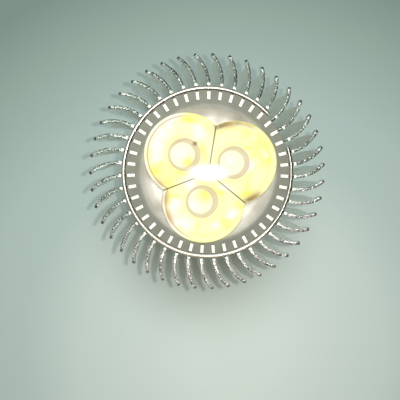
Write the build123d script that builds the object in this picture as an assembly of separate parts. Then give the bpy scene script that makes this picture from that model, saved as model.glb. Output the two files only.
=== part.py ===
from build123d import *

import os
from math import cos, radians, sin

# LED spot bulb with a sunflower heat sink and a twist-lock base with two pins.
#
# Sheet fins stand on the flats of a many-sided core. Their front tabs pass through the slots of a
# pressed front plate, and a split wire ring ties them together round the plate's rim. A three-lobed
# lens sits in the plate over three emitters. A moulded housing closes the rear of the core, holds the
# driver and carries the two contact pins.
#
# Millimetres. Z is the lamp's axis and points the way the light goes. The origin is the centre of the
# base's end face, where the contact pins leave it, and the pins stand apart along X.

# Lens: three lobes merged into one moulding
LOBE_COUNT = 3
LOBE_ANGLE = 30.0
LOBE_PITCH_RADIUS = 7.35
LOBE_RADIUS = 10.56
RIM_THICKNESS = 1.2
RIM_STEP = 0.5
WELL_RADIUS = 3.95
WELL_DEPTH = 1.5
MAGNIFIER_RADIUS = 3.05
MAGNIFIER_HEIGHT = 0.9
LENS_DEPTH = 9.8
FLANK_COUNT = 16
FOOT_RADIUS = 4.6
CAVITY_WIDTH = 5.6
CAVITY_HEIGHT = 3.8
PARTING_WIDTH = 0.35
PARTING_DEPTH = 0.5

# Front plate: pressed sheet with a dished middle and one slot for each fin
PLATE_THICKNESS = 0.8
SLOT_MARGIN = 0.64
SLOT_LENGTH = 2.08
SLOT_WIDTH = 0.85
PLATE_BORDER = 0.24
DISH_DEPTH = 1.5
DISH_RUN = 2.6
LENS_CLEARANCE = 0.2

# Retaining ring: split wire, drawn to an eight-sided section
WIRE_DIAMETER = 0.9
WIRE_SIDES = 8
WIRE_CLEARANCE = 0.15
RING_GAP_START = 27.1
RING_GAP_END = 53.0

# Fins: stamped sheet, curled in small even steps
FIN_COUNT = 43
FIN_FIRST_ANGLE = 6.65
FIN_THICKNESS = 0.75
FIN_LENGTH = 40.0
FIN_CURL_RADIUS = 9.9
FIN_CURL_ANGLE = 51.8
FIN_CURL_STEPS = 4
FIN_TIP_CORNER = 1.2
FIN_HOOK_REACH = 1.65
FIN_HOOK_ROOT = 3.0
FIN_HOOK_TIP = 1.8
FIN_LEAF_STRAIGHT = 13.0
FIN_TAPER_KNEE_REACH = 0.63
FIN_TAPER_KNEE_HEIGHT = 0.5
FIN_REAR_LAND = 4.55
TAB_CLEARANCE = 0.05
TAB_PROUD = 0.15

# Core: many-sided bar, bored from both ends to leave a web
CORE_FRONT_WALL = 1.9
CORE_REAR_WALL = 4.2
CORE_RIM_HEIGHT = 3.8
WEB_THICKNESS = 5.0

# Emitter board and emitters
BOARD_SIDES = 6
BOARD_THICKNESS = 1.6
BOARD_CLEARANCE = 0.4
EMITTER_SIZE = 3.4
EMITTER_BASE = 0.7
EMITTER_TILE_SIZE = 2.2
EMITTER_TILE_HEIGHT = 0.4

# Base housing: moulded boss, neck, flange and insulating sleeve
BOSS_LENGTH = 18.0
BOSS_WIDTH = 11.5
BOSS_HEIGHT = 8.0
NECK_HEIGHT = 11.5
FLANGE_THICKNESS = 3.5
FLANGE_MARGIN = 2.4
SLEEVE_CLEARANCE = 0.1
SLEEVE_WALL = 1.6
SLEEVE_GAP = 0.3

# Contact pins
PIN_SPACING = 10.0
PIN_RADIUS = 1.5
PIN_HEAD_RADIUS = 2.45
PIN_HEAD_LENGTH = 2.6
PIN_LENGTH = 7.0
PIN_CLEARANCE = 0.03

# Driver and its leads
DRIVER_BOARD_WIDTH = 19.0
DRIVER_BOARD_HEIGHT = 24.0
DRIVER_BOARD_THICKNESS = 1.2
TRANSFORMER_WIDTH = 11.0
TRANSFORMER_HEIGHT = 10.0
TRANSFORMER_DEPTH = 7.0
TRANSFORMER_LIFT = 8.0
CAPACITOR_WIDTH = 10.0
CAPACITOR_HEIGHT = 9.0
CAPACITOR_DEPTH = 5.0
CAPACITOR_LIFT = 4.0
LEAD_RADIUS = 0.5
LEAD_PITCH_RADIUS = 1.6
LEAD_CLEARANCE = 0.5
LEAD_RISE = 1.0
LEAD_OVERLAP = 4.0

# Radii worked out from the lens outwards
LENS_RADIUS = LOBE_PITCH_RADIUS + LOBE_RADIUS
LENS_BODY_RADIUS = LOBE_RADIUS - RIM_STEP
SLOT_INNER = LENS_RADIUS + SLOT_MARGIN
SLOT_OUTER = SLOT_INNER + SLOT_LENGTH
PLATE_RADIUS = SLOT_OUTER + PLATE_BORDER
RING_RADIUS = PLATE_RADIUS + WIRE_CLEARANCE + WIRE_DIAMETER / 2
NOTCH_OUTER = RING_RADIUS + WIRE_DIAMETER / 2 + WIRE_CLEARANCE
CORE_RADIUS = LENS_RADIUS
FLANGE_RADIUS = CORE_RADIUS + FLANGE_MARGIN
FIN_REAR_EDGE = FLANGE_RADIUS + FIN_REAR_LAND
CORE_FRONT_BORE = CORE_RADIUS - CORE_FRONT_WALL
CORE_REAR_BORE = CORE_RADIUS - CORE_REAR_WALL
SLEEVE_RADIUS = CORE_REAR_BORE - SLEEVE_CLEARANCE
DRIVER_BORE = SLEEVE_RADIUS - SLEEVE_WALL
LEAD_HOLE_RADIUS = LEAD_PITCH_RADIUS + LEAD_RADIUS + LEAD_CLEARANCE

# Heights worked out from the base upwards
FLANGE_BOTTOM = BOSS_HEIGHT + NECK_HEIGHT
FIN_REAR = FLANGE_BOTTOM + FLANGE_THICKNESS
FIN_FRONT = FIN_REAR + FIN_LENGTH
PLATE_TOP = FIN_FRONT - TAB_PROUD
PLATE_BOTTOM = PLATE_TOP - PLATE_THICKNESS
LENS_FRONT = PLATE_TOP + RIM_THICKNESS
BOARD_TOP = PLATE_TOP - LENS_DEPTH
WEB_TOP = BOARD_TOP - BOARD_THICKNESS
WEB_BOTTOM = WEB_TOP - WEB_THICKNESS
CORE_TOP = BOARD_TOP + CORE_RIM_HEIGHT
SLEEVE_TOP = WEB_BOTTOM - SLEEVE_GAP
DRIVER_FLOOR = BOSS_HEIGHT + SLEEVE_WALL
DRIVER_TOP = DRIVER_FLOOR + DRIVER_BOARD_HEIGHT

FIN_ANGLES = [FIN_FIRST_ANGLE + 360 / FIN_COUNT * index for index in range(FIN_COUNT)]
LOBE_ANGLES = [LOBE_ANGLE + 360 / LOBE_COUNT * index for index in range(LOBE_COUNT)]
GAP_ANGLES = [angle + 180 / LOBE_COUNT for angle in LOBE_ANGLES]


def polar(radius, angle):
    """Plan position at a radius and an angle in degrees."""
    return radius * cos(radians(angle)), radius * sin(radians(angle))


def turned(*points):
    """Solid turned about the lamp's axis from a closed outline of (radius, height) points."""
    return revolve(Plane.XZ * make_face(Polyline(*points, close=True)), Axis.Z)


def rod(radius, bottom, top, x=0.0, y=0.0):
    """Upright cylinder between two heights."""
    upright = Align.CENTER, Align.CENTER, Align.MIN
    return Pos(x, y, bottom) * Cylinder(radius, top - bottom, align=upright)


def block(length, width, bottom, top):
    """Box on the lamp's axis between two heights."""
    upright = Align.CENTER, Align.CENTER, Align.MIN
    return Pos(0, 0, bottom) * Box(length, width, top - bottom, align=upright)


def around(shape, angles):
    """Copies of a shape turned about the lamp's axis."""
    return [Rot(0, 0, angle) * shape for angle in angles]


def at_lobes(shape):
    """Copies of a shape from the lamp's axis, moved out and turned to each lobe of the lens."""
    return around(Pos(LOBE_PITCH_RADIUS, 0, 0) * shape, LOBE_ANGLES)


def make_fin():
    """One stamped fin along +X: flat from the core to the wire ring, then a leaf curled towards +Y, with a
    hook at its front corner and a taper towards the rear."""
    half = FIN_THICKNESS / 2
    steps = [FIN_CURL_ANGLE * step / FIN_CURL_STEPS - 90 for step in range(FIN_CURL_STEPS + 1)]
    curl_centre = Vector(NOTCH_OUTER, FIN_CURL_RADIUS)
    convex = [curl_centre + polar(FIN_CURL_RADIUS + half, step) for step in steps]
    concave = [curl_centre + polar(FIN_CURL_RADIUS - half, step) for step in reversed(steps)]
    section = make_face(Polyline((CORE_RADIUS, -half), *convex, *concave, (CORE_RADIUS, half), close=True))
    sheet = Pos(0, 0, FIN_REAR) * extrude(section, FIN_LENGTH)

    tip = convex[-1].X + half
    leaf_edge = tip - FIN_HOOK_REACH
    hook_root = FIN_FRONT - FIN_HOOK_ROOT
    leaf_rear = hook_root - FIN_LEAF_STRAIGHT
    tab_inner = SLOT_INNER + TAB_CLEARANCE
    tab_outer = SLOT_OUTER - TAB_CLEARANCE
    knee_reach = FIN_REAR_EDGE + (leaf_edge - FIN_REAR_EDGE) * FIN_TAPER_KNEE_REACH
    knee_height = FIN_REAR + (leaf_rear - FIN_REAR) * FIN_TAPER_KNEE_HEIGHT
    outline = Polyline(
        (CORE_RADIUS, FIN_REAR),
        (FIN_REAR_EDGE, FIN_REAR),
        (knee_reach, knee_height),
        (leaf_edge, leaf_rear),
        (leaf_edge, hook_root),
        (tip, FIN_FRONT - FIN_HOOK_TIP),
        (tip, FIN_FRONT - FIN_TIP_CORNER),
        (tip - FIN_TIP_CORNER, FIN_FRONT),
        (NOTCH_OUTER, FIN_FRONT),
        (NOTCH_OUTER, PLATE_BOTTOM),
        (tab_outer, PLATE_BOTTOM),
        (tab_outer, FIN_FRONT),
        (tab_inner, FIN_FRONT),
        (tab_inner, PLATE_BOTTOM),
        (CORE_RADIUS, PLATE_BOTTOM),
        close=True,
    )
    return sheet & extrude(Plane.XZ * make_face(outline), FIN_CURL_RADIUS, both=True)


def make_front_plate():
    """Pressed disc: flat slotted border, dished middle, three-lobed opening for the lens."""
    dish_edge = LENS_RADIUS - RIM_STEP
    floor_edge = dish_edge - DISH_RUN
    floor_top = PLATE_TOP - DISH_DEPTH
    floor_bottom = floor_top - PLATE_THICKNESS
    pressing = turned(
        (PLATE_RADIUS, PLATE_TOP),
        (dish_edge, PLATE_TOP),
        (floor_edge, floor_top),
        (0, floor_top),
        (0, floor_bottom),
        (floor_edge, floor_bottom),
        (dish_edge, PLATE_BOTTOM),
        (PLATE_RADIUS, PLATE_BOTTOM),
    )
    openings = at_lobes(rod(LENS_BODY_RADIUS + LENS_CLEARANCE, floor_bottom, PLATE_TOP))
    slot = block(SLOT_LENGTH, SLOT_WIDTH, PLATE_BOTTOM, PLATE_TOP)
    slots = around(Pos((SLOT_INNER + SLOT_OUTER) / 2, 0, 0) * slot, FIN_ANGLES)
    return pressing - openings - slots


def wire_section(radius):
    """Section of a wire, with a flat on each side."""
    return RegularPolygon(radius, WIRE_SIDES, major_radius=False, rotation=180 / WIRE_SIDES)


def make_retaining_ring():
    """Split wire ring that lies in the fins' notches round the plate's rim."""
    seat = Pos(RING_RADIUS, PLATE_BOTTOM + WIRE_DIAMETER / 2)
    section = Plane.XZ * seat * wire_section(WIRE_DIAMETER / 2)
    return Rot(0, 0, RING_GAP_END) * revolve(section, Axis.Z, 360 - RING_GAP_END + RING_GAP_START)


def faceted_cup(foot_radius, foot, mouth_radius, mouth):
    """Solid cup on the lamp's axis with flat flanks, wider at the mouth."""
    corners = [360 * corner / FLANK_COUNT for corner in range(FLANK_COUNT)]
    low = [Vector(*polar(foot_radius, corner), foot) for corner in corners]
    high = [Vector(*polar(mouth_radius, corner), mouth) for corner in corners]
    flanks = [
        Face(Wire.make_polygon([low[i - 1], low[i], high[i], high[i - 1]]))
        for i in range(FLANK_COUNT)
    ]
    return Solid(Shell([Face(Wire.make_polygon(low)), Face(Wire.make_polygon(high)), *flanks]))


def make_lens():
    """One clear moulding: three lobes with faceted flanks, each with a front well round a magnifier."""
    well_floor = LENS_FRONT - WELL_DEPTH
    rim = rod(LOBE_RADIUS, PLATE_TOP, LENS_FRONT)
    flank = faceted_cup(FOOT_RADIUS, BOARD_TOP, LENS_BODY_RADIUS, PLATE_TOP)
    cavity = block(CAVITY_WIDTH, CAVITY_WIDTH, BOARD_TOP, BOARD_TOP + CAVITY_HEIGHT)
    magnifier = rod(MAGNIFIER_RADIUS, well_floor, well_floor + MAGNIFIER_HEIGHT)
    well = rod(WELL_RADIUS, well_floor, LENS_FRONT) - magnifier
    notch = Polyline(
        (-PARTING_WIDTH / 2, LENS_FRONT),
        (0, LENS_FRONT - PARTING_DEPTH),
        (PARTING_WIDTH / 2, LENS_FRONT),
        close=True,
    )
    partings = around(extrude(Plane.YZ * make_face(notch), LENS_RADIUS), GAP_ANGLES)
    lobes = at_lobes(rim) + at_lobes(flank)
    return lobes[0] + lobes[1:] - at_lobes(cavity) - at_lobes(well) - partings


def make_core():
    """Bar with a flat for each fin, bored for the emitter board in front and the driver behind."""
    first_corner = FIN_FIRST_ANGLE - 180 / FIN_COUNT
    outline = RegularPolygon(CORE_RADIUS, FIN_COUNT, major_radius=False, rotation=first_corner)
    bar = Pos(0, 0, FIN_REAR) * extrude(outline, CORE_TOP - FIN_REAR)
    front_bore = rod(CORE_FRONT_BORE, WEB_TOP, CORE_TOP)
    rear_bore = rod(CORE_REAR_BORE, FIN_REAR, WEB_BOTTOM)
    return bar - front_bore - rear_bore - rod(LEAD_HOLE_RADIUS, WEB_BOTTOM, WEB_TOP)


def make_led_board():
    """Six-sided metal-core board with a six-sided middle hole for the leads."""
    outline = RegularPolygon(CORE_FRONT_BORE - BOARD_CLEARANCE, BOARD_SIDES, rotation=LOBE_ANGLE)
    hole = RegularPolygon(LEAD_HOLE_RADIUS, BOARD_SIDES, major_radius=False, rotation=LOBE_ANGLE)
    return Pos(0, 0, WEB_TOP) * extrude(outline - hole, BOARD_THICKNESS)


def make_emitters():
    """Square packages, each with a phosphor tile, one under each lobe of the lens."""
    tile_bottom = BOARD_TOP + EMITTER_BASE
    package = block(EMITTER_SIZE, EMITTER_SIZE, BOARD_TOP, tile_bottom)
    tile = block(EMITTER_TILE_SIZE, EMITTER_TILE_SIZE, tile_bottom, tile_bottom + EMITTER_TILE_HEIGHT)
    return at_lobes(package + tile)


def make_housing():
    """One moulding: end boss, round neck, flange under the fins, and a sleeve inside the core."""
    shell = turned(
        (0, BOSS_HEIGHT),
        (SLEEVE_RADIUS, BOSS_HEIGHT),
        (SLEEVE_RADIUS, FLANGE_BOTTOM),
        (FLANGE_RADIUS, FLANGE_BOTTOM),
        (FLANGE_RADIUS, FIN_REAR),
        (SLEEVE_RADIUS, FIN_REAR),
        (SLEEVE_RADIUS, SLEEVE_TOP),
        (DRIVER_BORE, SLEEVE_TOP),
        (DRIVER_BORE, DRIVER_FLOOR),
        (0, DRIVER_FLOOR),
    )
    boss = extrude(SlotOverall(BOSS_LENGTH, BOSS_WIDTH), BOSS_HEIGHT)
    pin_hole = rod(PIN_RADIUS + PIN_CLEARANCE, 0, DRIVER_FLOOR, PIN_SPACING / 2)
    return shell + boss - around(pin_hole, (0, 180))


def make_contact_pins():
    """Turned pins: mushroom head outside, shank through the boss, end flush with the driver floor."""
    neck = PIN_HEAD_LENGTH - PIN_LENGTH
    head = rod(PIN_HEAD_RADIUS, -PIN_LENGTH, neck, PIN_SPACING / 2)
    shank = rod(PIN_RADIUS, neck, DRIVER_FLOOR, PIN_SPACING / 2)
    return around(head + shank, (180, 0))


def make_driver():
    """Upright board across the pins' ends, with a transformer on one face and a capacitor on the other."""
    lead_face = polar(LEAD_PITCH_RADIUS, GAP_ANGLES[1])[1] + LEAD_RADIUS
    far_face = lead_face + DRIVER_BOARD_THICKNESS
    middle = (lead_face + far_face) / 2
    board = block(DRIVER_BOARD_WIDTH, DRIVER_BOARD_THICKNESS, DRIVER_FLOOR, DRIVER_TOP)
    transformer_foot = DRIVER_FLOOR + TRANSFORMER_LIFT
    transformer_top = transformer_foot + TRANSFORMER_HEIGHT
    transformer = block(TRANSFORMER_WIDTH, TRANSFORMER_DEPTH, transformer_foot, transformer_top)
    capacitor_foot = DRIVER_FLOOR + CAPACITOR_LIFT
    capacitor_top = capacitor_foot + CAPACITOR_HEIGHT
    capacitor = block(CAPACITOR_WIDTH, CAPACITOR_DEPTH, capacitor_foot, capacitor_top)
    return {
        "driver_board": Pos(0, middle, 0) * board,
        "driver_transformer": Pos(0, far_face + TRANSFORMER_DEPTH / 2, 0) * transformer,
        "driver_capacitor": Pos(0, lead_face - CAPACITOR_DEPTH / 2, 0) * capacitor,
    }


def make_leads():
    """Insulated wires up the driver board's face, through the web and the emitter board."""
    wire = wire_section(LEAD_RADIUS)
    bottom = DRIVER_TOP - LEAD_OVERLAP
    lead = Pos(0, 0, bottom) * extrude(wire, BOARD_TOP + LEAD_RISE - bottom)
    return [Pos(*polar(LEAD_PITCH_RADIUS, angle)) * lead for angle in GAP_ANGLES[1:]]


def build_parts():
    """Every piece by its name."""
    parts = {
        "front_plate": make_front_plate(),
        "front_retaining_ring": make_retaining_ring(),
        "trefoil_lens": make_lens(),
        "heat_sink_core": make_core(),
        "led_board": make_led_board(),
        "base_housing": make_housing(),
    }
    parts |= make_driver()
    parts["contact_pin_left"], parts["contact_pin_right"] = make_contact_pins()
    parts["led_lead_left"], parts["led_lead_right"] = make_leads()
    for number, emitter in enumerate(make_emitters(), start=1):
        parts[f"led_emitter_{number}"] = emitter
    for number, fin in enumerate(around(make_fin(), FIN_ANGLES), start=1):
        parts[f"fin_{number:02d}"] = fin
    return parts


os.makedirs("parts", exist_ok=True)
for name, part in build_parts().items():
    export_step(part, f"parts/{name}.step")
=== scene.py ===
from math import atan2, cos, degrees, pi, radians, sin, sqrt

import bmesh
import bpy
from mathutils import Matrix, Vector


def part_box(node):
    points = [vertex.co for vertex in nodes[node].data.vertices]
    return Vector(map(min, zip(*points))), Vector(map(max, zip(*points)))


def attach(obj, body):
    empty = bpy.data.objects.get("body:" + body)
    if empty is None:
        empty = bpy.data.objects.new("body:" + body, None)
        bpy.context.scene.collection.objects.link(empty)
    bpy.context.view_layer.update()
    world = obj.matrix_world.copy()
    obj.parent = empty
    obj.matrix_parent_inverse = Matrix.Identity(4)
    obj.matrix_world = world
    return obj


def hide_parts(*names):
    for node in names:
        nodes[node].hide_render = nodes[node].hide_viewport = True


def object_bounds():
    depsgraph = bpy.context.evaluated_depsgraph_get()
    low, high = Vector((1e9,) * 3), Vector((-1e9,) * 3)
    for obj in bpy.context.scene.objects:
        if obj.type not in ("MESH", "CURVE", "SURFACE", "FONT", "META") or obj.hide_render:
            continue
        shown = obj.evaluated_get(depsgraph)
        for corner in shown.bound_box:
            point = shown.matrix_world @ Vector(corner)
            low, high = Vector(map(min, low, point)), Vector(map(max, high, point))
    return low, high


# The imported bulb: upright on its pins, its axis on Z, the origin in the middle of the base's end face.
# Its nodes stay where they are, and every piece below is modelled round them in the same place.
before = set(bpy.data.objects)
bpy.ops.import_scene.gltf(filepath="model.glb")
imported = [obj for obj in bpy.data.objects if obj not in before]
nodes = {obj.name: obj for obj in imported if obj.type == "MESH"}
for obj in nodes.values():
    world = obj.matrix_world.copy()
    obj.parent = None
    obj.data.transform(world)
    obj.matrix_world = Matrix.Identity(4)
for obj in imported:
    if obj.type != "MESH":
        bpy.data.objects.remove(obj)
cad_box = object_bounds()


# Contact pins. Turned brass with nickel plating: a wide head that hooks behind the lamp holder's springs,
# a waist, and a shank that is pressed through the end boss and soldered to the driver.
MM = 0.001
WELD_GAP = 0.002
SMOOTHED_OVER = 8


def begin(add, name, **settings):
    """Add one primitive with nothing else selected, name it, and open it for editing."""
    bpy.ops.object.select_all(action="DESELECT")
    add(**settings)
    piece = bpy.context.object
    piece.name = name
    piece.data.name = name
    bpy.ops.object.mode_set(mode="EDIT")
    bpy.ops.mesh.select_mode(type="VERT")
    return piece


def begin_point(name):
    """Begin a piece as one point at the origin."""
    piece = begin(bpy.ops.mesh.primitive_plane_add, name, size=MM)
    bpy.ops.mesh.merge(type="CENTER")
    return piece


def extrude(x=0.0, y=0.0, z=0.0):
    """Extrude what is selected by a step in millimetres."""
    step = (x * MM, y * MM, z * MM)
    bpy.ops.mesh.extrude_region_move(TRANSFORM_OT_translate={"value": step})


def move(x=0.0, y=0.0, z=0.0):
    """Move what is selected by a step in millimetres."""
    bpy.ops.transform.translate(value=(x * MM, y * MM, z * MM))


def face_outwards():
    """Turn every face outwards."""
    bpy.ops.mesh.select_all(action="SELECT")
    bpy.ops.mesh.normals_make_consistent(inside=False)


def weld():
    """Close the seams that spinning leaves, then turn every face outwards."""
    bpy.ops.mesh.select_mode(type="VERT")
    bpy.ops.mesh.select_all(action="SELECT")
    bpy.ops.mesh.remove_doubles(threshold=WELD_GAP * MM)
    face_outwards()


def spin(angle, steps, x=0.0, y=0.0, copies=False):
    """Spin what is selected by so many degrees, anticlockwise from the front, about an upright axis."""
    bpy.ops.mesh.spin(steps=steps, angle=radians(angle), dupli=copies, center=(x * MM, y * MM, 0),
                      axis=(0, 0, -1))


def turn(name, profile, steps, x=0.0):
    """Draw a chain of (radius, height) points by extruding, then spin it about an upright axis at x."""
    piece = begin_point(name)
    move(x + profile[0][0], 0, profile[0][1])
    for near, far in zip(profile, profile[1:]):
        extrude(far[0] - near[0], 0, far[1] - near[1])
    bpy.ops.mesh.select_all(action="SELECT")
    spin(360, steps, x)
    weld()
    return piece


def apply(piece, kind, **settings):
    """Add a modifier with these settings and apply it."""
    bpy.ops.object.mode_set(mode="OBJECT")
    modifier = piece.modifiers.new(kind.title(), kind)
    for name, value in settings.items():
        setattr(modifier, name, value)
    bpy.ops.object.modifier_apply(modifier=modifier.name)


def round_edges(piece, width, segments, angle):
    """Round every edge that is sharper than an angle."""
    apply(piece, "BEVEL", width=width * MM, segments=segments, limit_method="ANGLE",
          angle_limit=radians(angle))
    bpy.ops.object.shade_smooth_by_angle(angle=radians(angle + SMOOTHED_OVER))


class Field:
    """A value that varies over a surface. Arithmetic on it adds Math nodes."""

    def __init__(self, tree, socket=None):
        self.tree = tree
        self.socket = socket

    def node(self, kind, settings=None, inputs=None, output=0):
        """Add a node, make its settings, fill its sockets with values or links, and hand on an output."""
        made = self.tree.nodes.new("ShaderNode" + kind)
        for name, value in (settings or {}).items():
            if name == "stops":
                for stop in value[1:-1]:
                    made.color_ramp.elements.new(stop[0])
                for element, stop in zip(made.color_ramp.elements, value):
                    element.position, element.color = stop
            else:
                setattr(made, name, value)
        for name, value in (inputs or {}).items():
            if isinstance(value, Field):
                self.tree.links.new(value.socket, made.inputs[name])
            else:
                made.inputs[name].default_value = value
        return Field(self.tree, made.outputs[output] if made.outputs else None)

    def math(self, operation, *others):
        """Add a Math node on this value and others."""
        return self.node("Math", {"operation": operation}, dict(enumerate((self, *others))))

    def __add__(self, other):
        return self.math("ADD", other)

    def __sub__(self, other):
        return self.math("SUBTRACT", other)

    def __rsub__(self, other):
        return self.math("MULTIPLY_ADD", -1.0, other)

    def __mul__(self, other):
        return self.math("MULTIPLY", other)

    def __truediv__(self, other):
        return self.math("DIVIDE", other)

    __radd__ = __add__
    __rmul__ = __mul__

    def ramp(self, low, high):
        """Smoothly from 0 at low to 1 at high."""
        settings = {"interpolation_type": "SMOOTHSTEP"}
        return self.node("MapRange", settings, {0: self, 1: low, 2: high})

    def blend(self, none, full):
        """One colour where this is 0, another where it is 1."""
        return self.node("Mix", {"data_type": "RGBA"}, {0: self, 6: none, 7: full}, 2)


def new_finish(name, turn_by=0.0, stretch=(1.0, 1.0, 1.0)):
    """A material with nothing in it yet, and the place on the piece in millimetres that patterns read."""
    finish = bpy.data.materials.new(name)
    finish.use_nodes = True
    finish.node_tree.nodes.clear()
    where = Field(finish.node_tree).node("TexCoord", output="Object")
    scale = tuple(part / MM for part in stretch)
    place = {"Vector": where, "Rotation": (0, 0, radians(turn_by)), "Scale": scale}
    return finish, where.node("Mapping", None, place)


def stretched(place, *scale):
    """The same place with another scale along each axis."""
    return place.node("Mapping", None, {"Vector": place, "Scale": scale})


def grain(place, scale, detail=3.0, roughness=0.55):
    """Soft noise from 0 to 1 with so many marks to the millimetre."""
    settings = {"Vector": place, "Scale": scale, "Detail": detail, "Roughness": roughness}
    return place.node("TexNoise", None, settings)


def close_finish(place, inputs, relief=None, depth=0.0):
    """End a finish in one shader, with relief so many millimetres deep."""
    if relief is not None:
        bump = {"Height": relief, "Strength": 1.0, "Distance": depth * MM}
        inputs = inputs | {"Normal": place.node("Bump", None, bump)}
    shader = place.node("BsdfPrincipled", None, inputs)
    place.node("OutputMaterial", None, {"Surface": shader})


def seat(piece, slot, *replaced):
    """Let a finished piece stand for its CAD nodes. The slot is not used."""
    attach(piece, "root")
    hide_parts(*replaced)


def shown(red, green, blue):
    """A colour as it is seen, 0 to 255, in the linear values of a shader."""
    parts = [value / 255 for value in (red, green, blue)]
    linear = [part / 12.92 if part <= 0.04045 else ((part + 0.055) / 1.055) ** 2.4 for part in parts]
    return (*linear, 1.0)


PIN_OFFSET = 5.0
PIN_STEPS = 64
PIN_EDGE = 0.12
PIN_SHANK = 1.5
PIN_HEAD = 2.45
HEAD_HEIGHT = 2.6
HEAD_CROWN = ((0.0, 0.0), (1.35, 0.0), (2.05, 0.18), (PIN_HEAD, 0.62))
HEAD_BACK = ((PIN_HEAD, 2.05), (PIN_HEAD - 0.35, HEAD_HEIGHT), (PIN_SHANK, HEAD_HEIGHT))
PRESSED_COLLAR = ((PIN_SHANK, 6.6), (PIN_SHANK + 0.02, 7.0), (PIN_SHANK, 7.4))
NICKEL = shown(226, 220, 208)
WORN_NICKEL = shown(203, 194, 178)
pin_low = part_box("contact_pin_left")[0].z / MM
pin_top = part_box("contact_pin_left")[1].z / MM

plating, place = new_finish("nickel_plating", stretch=(0.15, 0.15, 9.0))
turning = grain(place, 1.0)
wear = grain(stretched(place, 6.0, 6.0, 0.1), 0.5)
close_finish(place, {
    "Base Color": wear.ramp(0.35, 0.7).blend(NICKEL, WORN_NICKEL),
    "Metallic": 1.0,
    "Roughness": 0.16 + turning * 0.14,
}, turning, depth=0.006)

pin_profile = [(radius, pin_low + height) for radius, height in HEAD_CROWN + HEAD_BACK + PRESSED_COLLAR]
pin_profile += [(PIN_SHANK, pin_top), (0.0, pin_top)]
for side, name in ((-1, "contact_pin_left"), (1, "contact_pin_right")):
    pin = turn(name + "_turned", pin_profile, PIN_STEPS, x=side * PIN_OFFSET)
    round_edges(pin, PIN_EDGE, segments=3, angle=20)
    pin.data.materials.append(plating)
    seat(pin, "pin_nickel", name)


# Base housing. One moulding in white plastic: a rounded boss for the pins, a round neck, a flange that
# the fins stand on, and a sleeve that is pushed into the core and holds the driver.
BOSS_LENGTH = 18.0
BOSS_WIDTH = 11.5
BOSS_HEIGHT = 8.0
BOSS_OVERLAP = 0.8
BOSS_EDGE = 0.9
NECK_RADIUS = 13.61
NECK_CHAMFER = 1.3
NECK_GROOVE = ((0.0, 13.0), (-0.3, 13.2), (-0.3, 13.7), (0.0, 13.9))
FLANGE_RADIUS = 20.31
FLANGE_BOTTOM = 19.5
FLANGE_FILLET = ((0.0, -1.0), (0.35, -0.25), (1.1, 0.0))
FIN_REAR = 23.0
DRIVER_BORE = 12.01
DRIVER_FLOOR = 9.6
HOUSING_STEPS = 144
HOUSING_EDGE = 0.45
HAIR = 0.001
SHADED_PLASTIC = shown(232, 231, 225)
WHITE_PLASTIC = shown(241, 240, 235)
sleeve_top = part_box("base_housing")[1].z / MM


def pick(kind, test):
    """Select only the vertices, edges or faces that pass a test on their middle and on themselves."""
    bpy.ops.mesh.select_mode(type=kind)
    bpy.ops.mesh.select_all(action="DESELECT")
    mesh = bmesh.from_edit_mesh(bpy.context.object.data)
    for item in {"VERT": mesh.verts, "EDGE": mesh.edges, "FACE": mesh.faces}[kind]:
        corners = [item] if kind == "VERT" else item.verts
        middle = sum((corner.co for corner in corners), Vector()) / len(corners) / MM
        item.select_set(bool(test(middle, item)))
    mesh.select_flush_mode()
    bmesh.update_edit_mesh(bpy.context.object.data)


def take(piece):
    """Select one piece alone and make it the active one."""
    bpy.ops.object.select_all(action="DESELECT")
    piece.select_set(True)
    bpy.context.view_layer.objects.active = piece


def combine(piece, operation, tool):
    """Join another shape to a piece or cut it out of it, and use that shape up."""
    bpy.ops.object.mode_set(mode="OBJECT")
    take(piece)
    apply(piece, "BOOLEAN", operation=operation, object=tool, solver="EXACT")
    bpy.data.objects.remove(tool)


white_plastic, place = new_finish("moulded_white_plastic")
spark = grain(place, 5.0, detail=2.0)
cloud = grain(place, 0.09, detail=2.0)
close_finish(place, {
    "Base Color": cloud.ramp(0.3, 0.7).blend(SHADED_PLASTIC, WHITE_PLASTIC),
    "Roughness": 0.42 + spark * 0.16,
    "IOR": 1.5,
}, spark, depth=0.012)

housing = turn("base_housing_moulded", [
    (0.0, BOSS_HEIGHT), (NECK_RADIUS - NECK_CHAMFER, BOSS_HEIGHT), (NECK_RADIUS, BOSS_HEIGHT + NECK_CHAMFER),
    *((NECK_RADIUS + out, height) for out, height in NECK_GROOVE),
    *((NECK_RADIUS + out, FLANGE_BOTTOM + rise) for out, rise in FLANGE_FILLET),
    (FLANGE_RADIUS, FLANGE_BOTTOM), (FLANGE_RADIUS, FIN_REAR), (NECK_RADIUS, FIN_REAR),
    (NECK_RADIUS, sleeve_top), (DRIVER_BORE, sleeve_top), (DRIVER_BORE, DRIVER_FLOOR), (0.0, DRIVER_FLOOR),
], HOUSING_STEPS)
round_edges(housing, HOUSING_EDGE, segments=4, angle=40)

boss = begin(bpy.ops.mesh.primitive_circle_add, "boss_block", vertices=64, radius=BOSS_WIDTH / 2 * MM,
             fill_type="NGON")
for side in (1, -1):
    pick("VERT", lambda middle, corner: middle.x * side > HAIR)
    move(x=side * (BOSS_LENGTH - BOSS_WIDTH) / 2)
pick("FACE", lambda middle, face: True)
extrude(z=BOSS_HEIGHT + BOSS_OVERLAP)
face_outwards()
round_edges(boss, BOSS_EDGE, segments=5, angle=50)
combine(housing, "UNION", boss)
bpy.ops.object.shade_smooth_by_angle(angle=radians(35))
housing.data.materials.append(white_plastic)
seat(housing, "housing_plastic", "base_housing")


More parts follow.
